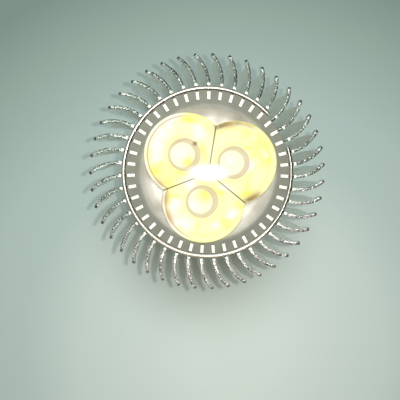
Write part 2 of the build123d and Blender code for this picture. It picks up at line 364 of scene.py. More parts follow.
# Driver and leads. A small upright circuit board on the pins' ends, with a taped transformer on one face, a
# dipped capacitor on the other and two insulated wires up to the emitters. The sleeve and the core close
# them in, so their plain solids stay as they are.
LAMINATE_GREEN = shown(38, 110, 66)
TRACK_GREEN = shown(58, 138, 84)
TAPE_YELLOW = shown(214, 182, 62)
TAPE_PALE = shown(226, 200, 96)
LACQUER_BLUE = shown(62, 76, 118)
LACQUER_PALE = shown(74, 90, 136)
LEAD_COLOURS = (
    ("led_lead_left", shown(36, 36, 38), shown(58, 58, 60)),
    ("led_lead_right", shown(186, 38, 34), shown(208, 64, 56)),
)


def dress(finish, *names):
    """Give CAD nodes that stay in view their finish."""
    for name in names:
        nodes[name].data.materials.clear()
        nodes[name].data.materials.append(finish)


laminate, place = new_finish("green_laminate", stretch=(1.0, 0.02, 1.0))
weave = place.node("TexWave", {"wave_type": "BANDS"}, {"Vector": place, "Scale": 1.4, "Distortion": 0.4})
tracks = grain(place, 0.35, detail=0.0).ramp(0.52, 0.56)
close_finish(place, {
    "Base Color": tracks.blend(LAMINATE_GREEN, TRACK_GREEN),
    "Roughness": 0.32 + weave * 0.12,
}, weave, depth=0.02)
dress(laminate, "driver_board")

tape, place = new_finish("yellow_winding_tape")
wraps = place.node("TexWave", {"bands_direction": "Z"}, {"Vector": place, "Scale": 0.5, "Distortion": 0.3})
close_finish(place, {
    "Base Color": wraps.ramp(0.2, 0.9).blend(TAPE_YELLOW, TAPE_PALE),
    "Roughness": 0.3 + wraps * 0.1,
}, wraps, depth=0.04)
dress(tape, "driver_transformer")

dip, place = new_finish("dipped_blue_lacquer")
sag = grain(place, 0.4, detail=1.0)
close_finish(place, {
    "Base Color": sag.ramp(0.3, 0.7).blend(LACQUER_BLUE, LACQUER_PALE),
    "Roughness": 0.14 + sag * 0.12,
}, sag, depth=0.06)
dress(dip, "driver_capacitor")

for name, colour, other_tone in LEAD_COLOURS:
    sleeve, place = new_finish(name + "_insulation")
    scuff = grain(place, 1.2)
    close_finish(place, {
        "Base Color": scuff.ramp(0.5, 0.8).blend(colour, other_tone),
        "Roughness": 0.4 + scuff * 0.2,
    }, scuff, depth=0.01)
    dress(sleeve, name)


# Heat sink core. A bar of extruded aluminium with one flat for each fin, bored from both ends. Only its flats
# show, in the gaps between the fins, with fine die lines along them.
CORE_BRIGHT = shown(203, 207, 203)
CORE_STAINED = shown(186, 190, 186)

core_metal, place = new_finish("extruded_aluminium", stretch=(4.0, 4.0, 0.05))
die_lines = grain(place, 1.0, detail=4.0)
stain = grain(stretched(place, 0.03, 0.03, 3.0), 1.0)
close_finish(place, {
    "Base Color": stain.ramp(0.3, 0.75).blend(CORE_BRIGHT, CORE_STAINED),
    "Metallic": 1.0,
    "Roughness": 0.3 + die_lines * 0.22,
}, die_lines, depth=0.01)
dress(core_metal, "heat_sink_core")


# Emitter board and emitters. A white-masked board with a metal core lies on the core's web, and carries three
# square ceramic packages, each with a yellow phosphor tile that gives the light.
MASK_WHITE = shown(238, 238, 232)
MASK_OVER_PADS = shown(226, 227, 220)
PHOSPHOR = shown(250, 214, 90)
PHOSPHOR_PALE = shown(252, 228, 130)
PHOSPHOR_GLOW = shown(255, 236, 150)
PHOSPHOR_GLOW_PALE = shown(255, 246, 190)

mask_white, place = new_finish("white_solder_mask")
pads = grain(place, 0.5, detail=1.0)
close_finish(place, {
    "Base Color": pads.ramp(0.35, 0.65).blend(MASK_WHITE, MASK_OVER_PADS),
    "Roughness": 0.35 + pads * 0.15,
}, pads, depth=0.01)
dress(mask_white, "led_board")

phosphor, place = new_finish("yellow_phosphor")
powder = grain(place, 6.0)
close_finish(place, {
    "Base Color": powder.ramp(0.3, 0.7).blend(PHOSPHOR, PHOSPHOR_PALE),
    "Emission Color": powder.ramp(0.2, 0.8).blend(PHOSPHOR_GLOW, PHOSPHOR_GLOW_PALE),
    "Emission Strength": 0.8,
    "Roughness": 0.6,
}, powder, depth=0.01)
dress(phosphor, "led_emitter_1", "led_emitter_2", "led_emitter_3")


# Fins. Stamped from aluminium sheet and curled at the outer edge: a tab in front goes through the plate, a
# notch takes the wire ring, and the sheared front edge is left rough and bright as it comes from the press.
# Its light and shade are painted into its colour, darker at the top of the view and lighter low down.
FIN_COUNT = 43
FIN_FIRST = 6.65
FIN_THICKNESS = 0.75
FIN_EDGE = 0.05
CORE_RADIUS = 17.91
TAB_INNER = 18.6
TAB_OUTER = 20.58
NOTCH_OUTER = 22.07
NOTCH_FLOOR = 62.05
FIN_FRONT = 63.0
CURL_RADIUS = 9.9
CURL_ANGLE = 51.4
LEAF_ANGLE = 42.6
LEAF_STEPS = 16
HOOK_STEPS = 4
HOOK_FLOOR = FIN_FRONT - 3.0
HOOK_THINS = 1.1
HOOK_DIPS = 0.4
TIP_ROUND = 0.7
LEAF_STRAIGHT = 16.0
LEAF_NARROWS = 4.15
NARROWING = 0.75
ROOT_PAD = 0.4
STAKED_WIDTH = 0.78
TAB_END_DEPTH = 0.15
BURNISH_DEPTH = 0.3
BURNISH_INSIDE = 0.09
ROUGH_DEPTH = 0.06
ROUGH_HEIGHT = 0.05
ROUGH_STOPS = 8
SHEET_FACING = 0.8
FRONT_FACING = 0.3
TOUCH = 0.01
CURL_TOUCH = 0.1
VIEW_TURN = 9.15

fin = begin_point("fin_pattern")
move(CORE_RADIUS, 0, FIN_REAR)
extrude(z=HOOK_FLOOR - FIN_REAR)
extrude(z=NOTCH_FLOOR - HOOK_FLOOR)
bpy.ops.mesh.select_all(action="SELECT")
for near, far in ((CORE_RADIUS, TAB_INNER), (TAB_INNER, TAB_OUTER), (TAB_OUTER, NOTCH_OUTER)):
    extrude(x=far - near)
pick("VERT", lambda middle, corner: middle.x > NOTCH_OUTER - TOUCH and middle.z > NOTCH_FLOOR - TOUCH)
extrude(z=FIN_FRONT - NOTCH_FLOOR)


def curl_at(spot):
    """How far round the curl a spot is, in degrees from the wire ring."""
    return degrees(atan2(spot.x - NOTCH_OUTER, CURL_RADIUS - spot.y))


def curl_on(start, lowest, angle, steps):
    """Spin the edge that stands at one angle of the curl, above a height, further round."""
    pick("VERT", lambda middle, corner: curl_at(middle) > start - CURL_TOUCH and middle.z > lowest - TOUCH)
    bpy.ops.mesh.select_mode(type="EDGE")
    spin(angle, steps, NOTCH_OUTER, CURL_RADIUS)
    return [start + angle * (step + 1) / steps for step in range(steps)]


leaf_columns = curl_on(0.0, FIN_REAR, LEAF_ANGLE, LEAF_STEPS)
hook_columns = curl_on(LEAF_ANGLE, HOOK_FLOOR, CURL_ANGLE - LEAF_ANGLE, HOOK_STEPS)
pick("EDGE", lambda middle, edge: TAB_INNER < middle.x < TAB_OUTER and middle.z > NOTCH_FLOOR - TOUCH)
extrude(z=FIN_FRONT - NOTCH_FLOOR)


def shift_row(column, height, rise):
    """Move the one point of a column that stands at a height."""
    pick("VERT", lambda middle, corner: abs(curl_at(middle) - column) < CURL_TOUCH
         and abs(middle.z - height) < TOUCH)
    move(z=rise)


leaf_depth = FIN_FRONT - FIN_REAR
for column in leaf_columns:
    share = 1 - radians(LEAF_ANGLE - column) * CURL_RADIUS / LEAF_NARROWS
    if share > 0:
        shift_row(column, FIN_REAR, (leaf_depth - LEAF_STRAIGHT) * (1 - (1 - share) ** NARROWING))
for column in hook_columns:
    share = (column - LEAF_ANGLE) / (CURL_ANGLE - LEAF_ANGLE)
    to_tip = radians(CURL_ANGLE - column) * CURL_RADIUS
    shift_row(column, HOOK_FLOOR, HOOK_THINS * share ** 2)
    shift_row(column, NOTCH_FLOOR, -HOOK_DIPS * share ** 2)
    if to_tip < TIP_ROUND:
        shift_row(column, FIN_FRONT, sqrt(TIP_ROUND ** 2 - (TIP_ROUND - to_tip) ** 2) - TIP_ROUND)
apply(fin, "SOLIDIFY", thickness=FIN_THICKNESS * MM, offset=0.0, use_even_offset=True)
bpy.ops.object.mode_set(mode="EDIT")
pick("VERT", lambda middle, corner: middle.x < TAB_OUTER + TOUCH and middle.z > FIN_FRONT - TOUCH)
bpy.ops.transform.resize(value=(1, STAKED_WIDTH / FIN_THICKNESS, 1), center_override=(0, 0, 0))
round_edges(fin, FIN_EDGE, segments=2, angle=45)


def away_from(place, x, y):
    """Distance in millimetres from an upright line."""
    flat = place.node("VectorMath", {"operation": "MULTIPLY"}, {0: place, 1: (1, 1, 0)})
    return place.node("VectorMath", {"operation": "DISTANCE"}, {0: flat, 1: (x, y, 0)}, "Value")


def along(place, axis):
    """One coordinate of a place."""
    return place.node("SeparateXYZ", None, {"Vector": place}, axis)


def turned_by(place, angle):
    """The same place, turned about the bulb's axis by so many degrees."""
    return place.node("Mapping", None, {"Vector": place, "Rotation": (0, 0, radians(angle))})


MILL_BRIGHT = shown(255, 255, 250)
MILL_HAZY = shown(246, 247, 241)
# A tone of painted shade for the leaf faces.
MILL_PAINTED_SHADE = shown(231, 225, 216)
# Painted light and shade on the cut edges: a highlight near the root, shade on the notch floor, glints at the
# tips.
ROOT_HIGHLIGHT = shown(250, 248, 242)
NOTCH_PAINTED_SHADE = shown(46, 48, 42)
NOTCH_SHEARED = shown(178, 180, 168)
GLINT_WHITE = shown(255, 255, 252)
TAB_DULL = shown(248, 247, 234)
TAB_BRIGHT = shown(255, 255, 244)
# The side of the view towards which the cut edges are painted lightest.
LIT_SIDE_TOWARDS = 75
ROOT_FADE = (22.9, 22.4)
LIT_SIDE_ROOT_FADE = (27.0, 22.6)
NOTCH_FADE = (22.2, 21.9)
TIP_FADE = (28.6, 29.6)

sheet_metal, place = new_finish("mill_finish_sheet", stretch=(1.0, 1.0, 0.08))
rolling = grain(place, 2.5, detail=4.0)
haze = grain(stretched(place, 0.05, 0.05, 1.2), 1.0)
seen = turned_by(place, -VIEW_TURN)
seen_across = along(seen, "X")
# Painted shade: the sheet is painted duller towards both sides of the view, in its upper half, more on the
# right.
painted_shade_sides = seen_across.ramp(10.0, 30.0) + seen_across.ramp(-12.0, -24.0) * 0.4
painted_shade_upper = painted_shade_sides * along(seen, "Y").ramp(-1.0, 8.0)
mill = haze.ramp(0.3, 0.75).blend(MILL_BRIGHT, MILL_HAZY)
close_finish(place, {
    "Base Color": painted_shade_upper.blend(mill, MILL_PAINTED_SHADE),
    "Metallic": 1.0,
    "Roughness": 0.28 + rolling * 0.1,
}, rolling, depth=0.0015)


def cut_edge(name, dark, light, low, high):
    """The rough cut edge of the sheet, from torn dark to sheared light. Each is given at the top, on the
    flanks and on the low side, as painted light and shade: darkest at the top of the view, lightest low
    down. The root has a painted highlight, the notch floor painted shade and the tips painted glints."""
    finish, place = new_finish(name, turn_by=-VIEW_TURN)
    tears = grain(place, 3.5, detail=2.0, roughness=0.6)
    burr = grain(place, 8.0, detail=3.0, roughness=0.7)
    reach = away_from(place, 0, 0)
    # Painted light and shade by side: the cut edges are painted darkest at the top of the view, lighter on
    # the flanks and lightest on the low side.
    flank_side = along(place, "X").math("ABSOLUTE").ramp(10.0, 25.0)
    painted_lit_side = along(turned_by(place, LIT_SIDE_TOWARDS), "X").ramp(2.0, 24.0)
    torn, sheared = [painted_lit_side.blend(flank_side.blend(shown(*top), shown(*flank)), shown(*other_tone))
                     for top, flank, other_tone in (dark, light)]
    colour = tears.ramp(low, high).blend(torn, sheared)
    # Painted highlight: the edge is painted whiter near the root, out to a wider reach on the lit low side.
    root = reach.ramp(*ROOT_FADE).math("MAXIMUM", reach.ramp(*LIT_SIDE_ROOT_FADE) * painted_lit_side)
    colour = (root * 0.5).blend(colour, ROOT_HIGHLIGHT)
    # Painted shade: the notch floor under the wire ring is painted dark, flecked with sheared grey.
    notch = burr.ramp(0.5, 0.62).blend(NOTCH_PAINTED_SHADE, NOTCH_SHEARED)
    colour = reach.ramp(*NOTCH_FADE).blend(colour, notch)
    # Painted glints: sparse white flecks towards the fin tips.
    tip_glints = grain(place, 6.5, detail=1.0).ramp(0.57, 0.65) * reach.ramp(*TIP_FADE)
    close_finish(place, {
        "Base Color": (tip_glints * 0.5).blend(colour, GLINT_WHITE),
        "Metallic": 1.0,
        "Roughness": 0.24 + burr * 0.25,
    }, tears * 0.6 + burr * 0.4, depth=0.06)
    return finish


# Edge tones at the top, on the flanks and on the low side: painted shade at the top, painted light low down.
sheared_metal = cut_edge("sheared_edge", dark=((33, 39, 35), (66, 72, 67), (94, 92, 91)),
                         light=((85, 92, 86), (122, 131, 122), (200, 198, 194)), low=0.42, high=0.64)
burnished_metal = cut_edge("burnished_edge", dark=((46, 50, 46), (83, 89, 83), (114, 112, 110)),
                           light=((138, 144, 138), (166, 172, 166), (222, 220, 216)), low=0.4, high=0.62)

pressed_metal, place = new_finish("pressed_tab_end")
dull = grain(place, 3.0)
close_finish(place, {
    "Base Color": dull.ramp(0.3, 0.7).blend(TAB_DULL, TAB_BRIGHT),
    "Metallic": 0.2,
    "Roughness": 0.6 + dull * 0.2,
}, dull, depth=0.01)

fin_finishes = (sheet_metal, sheared_metal, pressed_metal, burnished_metal)
for finish in fin_finishes:
    fin.data.materials.append(finish)


def on_curl(middle):
    """Past the flat pad that stands beside the wire ring."""
    return middle.x > NOTCH_OUTER + ROOT_PAD


def from_curl_axis(spot):
    """How far outside the middle of the curled sheet a spot is."""
    return sqrt((spot.x - NOTCH_OUTER) ** 2 + (spot.y - CURL_RADIUS) ** 2) - CURL_RADIUS


def edge_face(middle, face):
    """A narrow face on the thickness of the sheet, where it was cut."""
    lean = radians(max(curl_at(middle), 0.0)) if middle.x > NOTCH_OUTER else 0.0
    return abs(face.normal.dot(Vector((-sin(lean), cos(lean), 0)))) < SHEET_FACING


def tab_end(middle, face):
    """The front of the tab and of the pad beside the wire ring."""
    at_front = face.normal.z > FRONT_FACING and middle.z > FIN_FRONT - TAB_END_DEPTH
    return at_front and not on_curl(middle)


def curled_edge(middle, face):
    """A cut face on the curl."""
    return edge_face(middle, face) and on_curl(middle)


def burnished_side(middle, face):
    """The side of the front edge that lies inside the curl."""
    return (curled_edge(middle, face) and middle.z > FIN_FRONT - BURNISH_DEPTH
            and from_curl_axis(middle) < -BURNISH_INSIDE)


def assign(finish, test):
    """Give the faces of the fin that pass a test one of its finishes."""
    pick("FACE", test)
    fin.active_material_index = fin_finishes.index(finish)
    bpy.ops.object.material_slot_assign()


bpy.ops.object.mode_set(mode="EDIT")
assign(sheared_metal, edge_face)
pick("FACE", lambda middle, face: curled_edge(middle, face) and middle.z > HOOK_FLOOR)
bpy.ops.mesh.subdivide(number_cuts=2)
assign(pressed_metal, tab_end)
assign(burnished_metal, burnished_side)
bpy.ops.object.mode_set(mode="OBJECT")


def turn_to(piece, angle):
    """Turn a selected piece about the bulb's axis and leave the turn in its mesh."""
    piece.rotation_euler.z = radians(angle)
    bpy.ops.object.transform_apply(rotation=True)


for number in range(1, FIN_COUNT + 1):
    take(fin)
    bpy.ops.object.duplicate()
    leaf = bpy.context.object
    leaf.name = f"fin_{number:02d}_curled"
    leaf.data.name = leaf.name
    bpy.ops.object.mode_set(mode="EDIT")
    pick("VERT", lambda middle, corner: on_curl(middle) and middle.z > FIN_FRONT - ROUGH_DEPTH
         and curl_at(middle) < CURL_ANGLE - ROUGH_STOPS)
    bpy.ops.transform.vertex_random(offset=ROUGH_HEIGHT * MM, seed=number)
    bpy.ops.object.mode_set(mode="OBJECT")
    turn_to(leaf, FIN_FIRST + 360 / FIN_COUNT * (number - 1))
    seat(leaf, "fin_aluminium", f"fin_{number:02d}")
bpy.data.objects.remove(fin)


# Front plate. A disc pressed from aluminium sheet: one slot for each fin's tab in its flat border, and a
# shallow dish in the middle with a three-lobed opening that the lens drops into.
PLATE_TOP = 62.85
PLATE_THICKNESS = 0.8
PLATE_RADIUS = 20.87
PLATE_EDGE = 0.025
SLOT_INNER = 18.55
SLOT_OUTER = 20.63
SLOT_WIDTH = 0.79
SLOT_SIDE = SLOT_WIDTH / 2
SIDE_STEP = 0.2
DISH_EDGE = 17.41
DISH_RINGS = ((17.0, 0.05), (16.6, 0.2), (16.1, 0.46), (15.6, 0.78), (15.1, 1.1), (14.6, 1.34),
              (14.0, 1.47), (13.3, 1.5), (10.2, 1.5))
LOBE_OUT = 7.35
LOBE_ANGLES = (30.0, 150.0, 270.0)
OPENING_RADIUS = 10.26
CUTTER_DEPTH = 8


def at_angle(reach, angle):
    """The spot at a distance from the bulb's axis and an angle round it."""
    return reach * cos(radians(angle)), reach * sin(radians(angle))


# One pitch of the border is drawn round its slot and copied round. The dish is drawn down from its inner rim.
plate = begin(bpy.ops.mesh.primitive_plane_add, "front_plate_pressed", size=MM)
bpy.ops.transform.resize(value=(SLOT_OUTER - SLOT_INNER, SLOT_WIDTH, 1))
move((SLOT_INNER + SLOT_OUTER) / 2, 0, PLATE_TOP)
pick("EDGE", lambda middle, edge: middle.x < SLOT_INNER + TOUCH)
extrude(x=DISH_EDGE - SLOT_INNER)
pick("EDGE", lambda middle, edge: middle.x > SLOT_OUTER - TOUCH)
extrude(x=PLATE_RADIUS - SLOT_OUTER)
for side in (-1, 1):
    pick("EDGE", lambda middle, edge: middle.y * side > SLOT_SIDE - TOUCH)
    extrude(y=side * SIDE_STEP)
    for reach in (DISH_EDGE, SLOT_INNER, SLOT_OUTER, PLATE_RADIUS):
        pick("VERT", lambda middle, corner: middle.y * side > SLOT_SIDE + SIDE_STEP / 2
             and abs(middle.x - reach) < TOUCH)
        x, y = at_angle(reach, 180 / FIN_COUNT)
        move(x - reach, side * (y - SLOT_SIDE - SIDE_STEP))
for reach in (DISH_EDGE, PLATE_RADIUS):
    pick("VERT", lambda middle, corner: abs(middle.x - reach) < TOUCH and abs(middle.y) < SLOT_SIDE + TOUCH)
    move(x=sqrt(reach ** 2 - SLOT_SIDE ** 2) - reach)
pick("FACE", lambda middle, face: abs(middle.y) < TOUCH and SLOT_INNER < middle.x < SLOT_OUTER)
bpy.ops.mesh.delete(type="ONLY_FACE")
bpy.ops.mesh.select_all(action="SELECT")
spin(360 - 360 / FIN_COUNT, FIN_COUNT - 1, copies=True)
weld()
last_radius, last_drop = DISH_EDGE, 0.0
pick("EDGE", lambda middle, edge: edge.is_boundary and middle.xy.length < DISH_EDGE + TOUCH)
for radius, drop in DISH_RINGS:
    extrude(z=last_drop - drop)
    bpy.ops.transform.resize(value=(radius / last_radius, radius / last_radius, 1), center_override=(0, 0, 0))
    last_radius, last_drop = radius, drop
face_outwards()
pick("FACE", lambda middle, face: True)
if bmesh.from_edit_mesh(plate.data).faces[:][0].normal.z < 0:
    bpy.ops.mesh.flip_normals()
apply(plate, "SOLIDIFY", thickness=PLATE_THICKNESS * MM, offset=-1.0, use_even_offset=True)
round_edges(plate, PLATE_EDGE, segments=1, angle=50)
turn_to(plate, FIN_FIRST)
for angle in LOBE_ANGLES:
    x, y = at_angle(LOBE_OUT, angle)
    cutter = begin(bpy.ops.mesh.primitive_cylinder_add, "opening_cutter", vertices=128,
                   radius=OPENING_RADIUS * MM, depth=CUTTER_DEPTH * MM,
                   location=(x * MM, y * MM, PLATE_TOP * MM))
    combine(plate, "DIFFERENCE", cutter)
bpy.ops.object.shade_smooth_by_angle(angle=radians(30))

SPOT_SPREAD = 1.7


def spots(place, *patches):
    """Soft round patches, each given by its middle and its size, 1 in the middle."""
    share = None
    for x, y, size in patches:
        patch = away_from(place, x, y).ramp(size * SPOT_SPREAD, 0.0)
        share = patch if share is None else share.math("MAXIMUM", patch)
    return share


# The dish is painted far lighter than the flat border of the same sheet: a painted reflection of the lens's
# light.
BORDER_TONES = (shown(121, 122, 110), shown(112, 113, 102))
DISH_TONES = (shown(228, 224, 215), shown(212, 207, 197))
DISH_HIGHLIGHT_TONE = shown(244, 241, 233)
PATCH_GREY = shown(184, 178, 167)
DISH_FADE = (18.0, 15.2)

satin_metal, place = new_finish("satin_pressed_aluminium")
satin = grain(place, 7.0, detail=4.0, roughness=0.65)
mottle = grain(place, 0.35).ramp(0.3, 0.72)
seen = turned_by(place, -VIEW_TURN)
# A painted highlight on the left of the dish.
dish_highlight = spots(seen, (-15.6, -4.0, 2.3))
# Greyer patches on the dish.
grey_patches = spots(seen, (-12.2, -8.6, 1.8), (12.6, -8.4, 2.2), (7.8, 13.9, 1.7), (2.6, 13.4, 1.2))
dish = (dish_highlight * 0.65).blend(mottle.blend(*DISH_TONES), DISH_HIGHLIGHT_TONE)
dish = (grey_patches * 0.7).blend(dish, PATCH_GREY)
close_finish(place, {
    "Base Color": away_from(place, 0, 0).ramp(*DISH_FADE).blend(mottle.blend(*BORDER_TONES), dish),
    "Metallic": 0.35,
    "Roughness": 0.55 + satin * 0.14,
}, satin, depth=0.004)
plate.data.materials.append(satin_metal)
seat(plate, "plate_aluminium", "front_plate")


# Retaining ring. Bright drawn steel wire, bent round the plate's rim into the fins' notches, with its two
# square-cut ends left apart.
WIRE_RADIUS = 0.45
WIRE_SIDES = 24
WIRE_EDGE = 0.1
RING_RADIUS = 21.47
RING_HEIGHT = 62.5
RING_STEPS = 170
GAP_START = 27.1
GAP_END = 53.0
# Tones painted on the wire: a near-white highlight for the crest and shade for the flanks.
HIGHLIGHT_TONES = (shown(255, 248, 238), shown(250, 238, 226))
HIGHLIGHT_RIGHT = shown(202, 205, 196)
FLANK_MIDDLE = shown(104, 96, 85)
FLANK_TOP = shown(136, 128, 114)
FLANK_LOW = shown(206, 194, 172)
FLANK_RIGHT = shown(84, 78, 64)
CREST_BAND = (-0.19, 0.19, 0.08)
CREST_ASIDE = 0.05
CREST_SLIP = 0.28

ring = begin(bpy.ops.mesh.primitive_circle_add, "front_retaining_ring_wire", vertices=WIRE_SIDES,
             radius=WIRE_RADIUS * MM, fill_type="NOTHING", rotation=(pi / 2, 0, 0))
bpy.ops.object.mode_set(mode="OBJECT")
bpy.ops.object.transform_apply(rotation=True)
bpy.ops.object.mode_set(mode="EDIT")
bpy.ops.mesh.select_all(action="SELECT")
move(RING_RADIUS, 0, RING_HEIGHT)
spin(360 + GAP_START - GAP_END, RING_STEPS)
pick("EDGE", lambda middle, edge: edge.is_boundary)
bpy.ops.mesh.edge_face_add()
face_outwards()
round_edges(ring, WIRE_EDGE, segments=2, angle=50)
turn_to(ring, GAP_END)


def band(value, low, high, soft):
    """1 between two values, falling off softly on both sides."""
    return value.ramp(low - soft, low + soft) * value.ramp(high + soft, high - soft)


# Painted light and shade: a near-white highlight line along the crest, off its middle and narrower and greyer
# on the right, and painted shade on both flanks, lighter at the top, lightest low down and darkest on the
# right.
drawn_wire, place = new_finish("bright_drawn_wire", turn_by=-VIEW_TURN)
draw_marks = grain(place, 3.0)
tarnish = grain(place, 0.16, detail=2.0)
low_side = along(place, "Y").ramp(-6.0, -18.0)
low_right = along(turned_by(place, 45), "X").ramp(-18.0, 18.0)
right_side = along(place, "X").ramp(12.0, 20.0)
top_side = along(place, "Y").ramp(10.0, 19.0)
off_line = away_from(place, 0, 0) - RING_RADIUS + low_right * CREST_SLIP - CREST_ASIDE
crest_highlight = band(off_line * (1 + right_side * 0.5), *CREST_BAND)
highlight_tone = tarnish.ramp(0.35, 0.7).blend(*HIGHLIGHT_TONES)
highlight_tone = (right_side * 0.8).blend(highlight_tone, HIGHLIGHT_RIGHT)
flank = low_side.blend(top_side.blend(FLANK_MIDDLE, FLANK_TOP), FLANK_LOW)
flank = right_side.blend(flank, FLANK_RIGHT)
close_finish(place, {
    "Base Color": crest_highlight.blend(flank, highlight_tone),
    "Metallic": 0.5 - crest_highlight * 0.4,
    "Roughness": 0.16 + draw_marks * 0.08,
}, draw_marks, depth=0.001)
ring.data.materials.append(drawn_wire)
seat(ring, "wire_steel", "front_retaining_ring")


# Lens. One clear acrylic moulding of three collimators that run together: each lobe has a front well round a
# domed magnifier and a cup behind that takes the emitter. Lit from behind, it glows unevenly through.
LENS_FRONT = 64.05
LENS_STEPS = 128
LOBE_RADIUS = 10.56
HALF_LOBE = 60
CROWN = ((6.0, 0.0), (8.0, 0.01))
EDGE_HEIGHT = 0.62
SHOULDER = ((0.7, 0.04), (0.35, 0.12), (0.12, 0.32), (0.0, EDGE_HEIGHT))
CUP_RADIUS = 10.06
CUP_FOOT = 4.6
CUP_CURVE = 0.72
CUP_ROWS = (1.0, 0.85, 0.7, 0.55, 0.4, 0.28, 0.16, 0.07, 0.0)
BOARD_TOP = 53.05
POCKET_RADIUS = 2.8
POCKET_TOP = BOARD_TOP + 3.8
WELL_RADIUS = 3.95
WELL_FLOOR = LENS_FRONT - 1.5
WELL_FILLET = 0.25
WELL_LIP = 0.15
LIP_DROP = 0.02
DOME_RADIUS = 3.05
DOME_FOOT = WELL_FLOOR + 0.35
DOME_TOP = WELL_FLOOR + 0.9
PARTING_WIDTH = 0.35
PARTING_DEPTH = 0.4
PARTING_TOUCH = 0.0005
SHOULDER_FOOT = LENS_FRONT - EDGE_HEIGHT

dome = [(DOME_RADIUS * sin(radians(tilt)), DOME_FOOT + (DOME_TOP - DOME_FOOT) * cos(radians(tilt)))
        for tilt in range(0, 91, 10)]
cup = [(CUP_FOOT + (CUP_RADIUS - CUP_FOOT) * share ** CUP_CURVE, BOARD_TOP + (PLATE_TOP - BOARD_TOP) * share)
       for share in CUP_ROWS]
lens = turn("trefoil_lens_moulded", [
    *dome, (DOME_RADIUS, WELL_FLOOR), (WELL_RADIUS - WELL_FILLET, WELL_FLOOR),
    (WELL_RADIUS, WELL_FLOOR + WELL_FILLET), (WELL_RADIUS, LENS_FRONT - WELL_LIP),
    (WELL_RADIUS + WELL_LIP, LENS_FRONT - LIP_DROP),
    *((radius, LENS_FRONT - drop) for radius, drop in CROWN),
    *((LOBE_RADIUS - inset, LENS_FRONT - drop) for inset, drop in SHOULDER),
    (LOBE_RADIUS, PLATE_TOP), *cup,
    (POCKET_RADIUS, BOARD_TOP), (POCKET_RADIUS, POCKET_TOP), (0.0, POCKET_TOP),
], LENS_STEPS, x=LOBE_OUT)
for side in (-1, 1):
    outwards = Vector((-sin(radians(HALF_LOBE)), side * cos(radians(HALF_LOBE)), 0))
    for inset in (0.0, PARTING_WIDTH / 2):
        bpy.ops.mesh.select_all(action="SELECT")
        bpy.ops.mesh.bisect(plane_co=outwards * -inset * MM, plane_no=outwards, clear_outer=inset == 0.0,
                            use_fill=False, threshold=PARTING_TOUCH * MM)
bpy.ops.mesh.select_all(action="SELECT")
spin(4 * HALF_LOBE, 2, copies=True)
weld()


def on_parting(middle):
    """Near one of the three planes where two lobes meet."""
    turned = (degrees(atan2(middle.y, middle.x)) - HALF_LOBE) % (2 * HALF_LOBE)
    return radians(min(turned, 2 * HALF_LOBE - turned)) * middle.xy.length < TOUCH


pick("VERT", lambda middle, corner: on_parting(middle) and middle.z > SHOULDER_FOOT - HAIR)
bpy.ops.transform.resize(value=(1, 1, 1 - PARTING_DEPTH / EDGE_HEIGHT),
                         center_override=(0, 0, SHOULDER_FOOT * MM))
bpy.ops.object.mode_set(mode="OBJECT")
turn_to(lens, LOBE_ANGLES[0])
bpy.ops.object.shade_smooth_by_angle(angle=radians(35))


def least(first, *others):
    """The smallest of several values."""
    for other in others:
        first = first.math("MINIMUM", other)
    return first


PALE = shown(255, 254, 200)
RICH = shown(255, 248, 112)
WHITE = shown(255, 255, 250)
CREAM = shown(255, 255, 222)
TAN = shown(217, 193, 160)
AMBER = shown(206, 162, 98)
BROWN = shown(122, 94, 50)
UNLIT = shown(56, 51, 42)
DOME_LIT_ASIDE = (0.85, 0.05)
WELL_LIT_ASIDE = 0.4
STREAK_PULL = (6.0, 6.0, 0.0)
INNER_RING = (4.4, 5.2, 0.5)
OUTER_RING = (8.2, 9.2, 0.5)
SHOULDER_FADE = (8.3, 9.5)
RIM_BAND = (9.45, 10.5, 0.3)
RIM_FADE = (9.9, 10.4)
RIM_LINE = (9.55, 9.8, 0.15)
RIM_GLINT = (10.05, 10.4, 0.12)
DOME_FADE = (3.4, 2.9)
AROUND_DOME = (2.9, 3.4)
WELL_FADE = (4.25, 3.9)
WELL_LINE = (3.95, 4.1, 0.14)
PARTING_FADE = (0.34, 0.1)
MIDDLE_FADE = (2.7, 1.6)

# The glow is painted into the emission colour. The light comes through a little to one side of the wells and
# domes, in streaks.
glow, place = new_finish("lit_acrylic", turn_by=-VIEW_TURN)
lobe_spots = [at_angle(LOBE_OUT, angle - VIEW_TURN) for angle in LOBE_ANGLES]
from_lobes = [away_from(place, x, y) for x, y in lobe_spots]
nearest = least(*from_lobes)
dome_edge = least(*(away_from(place, x - DOME_LIT_ASIDE[0], y - DOME_LIT_ASIDE[1]) for x, y in lobe_spots))
well_edge = least(*(away_from(place, x - WELL_LIT_ASIDE, y) for x, y in lobe_spots))
first, second, third = from_lobes
next_nearest = least(first, second).math("MAXIMUM", least(first.math("MAXIMUM", second), third))
swirl = grain(place, 0.3, detail=2.0, roughness=0.5)
drift = place.node("TexNoise", None, {"Vector": place, "Scale": 0.24, "Detail": 2.0}, "Color")
drift = place.node("VectorMath", {"operation": "SUBTRACT"}, {0: drift, 1: (0.5, 0.5, 0.5)})
streaked = place.node("VectorMath", {"operation": "MULTIPLY_ADD"}, {0: drift, 1: STREAK_PULL, 2: place})

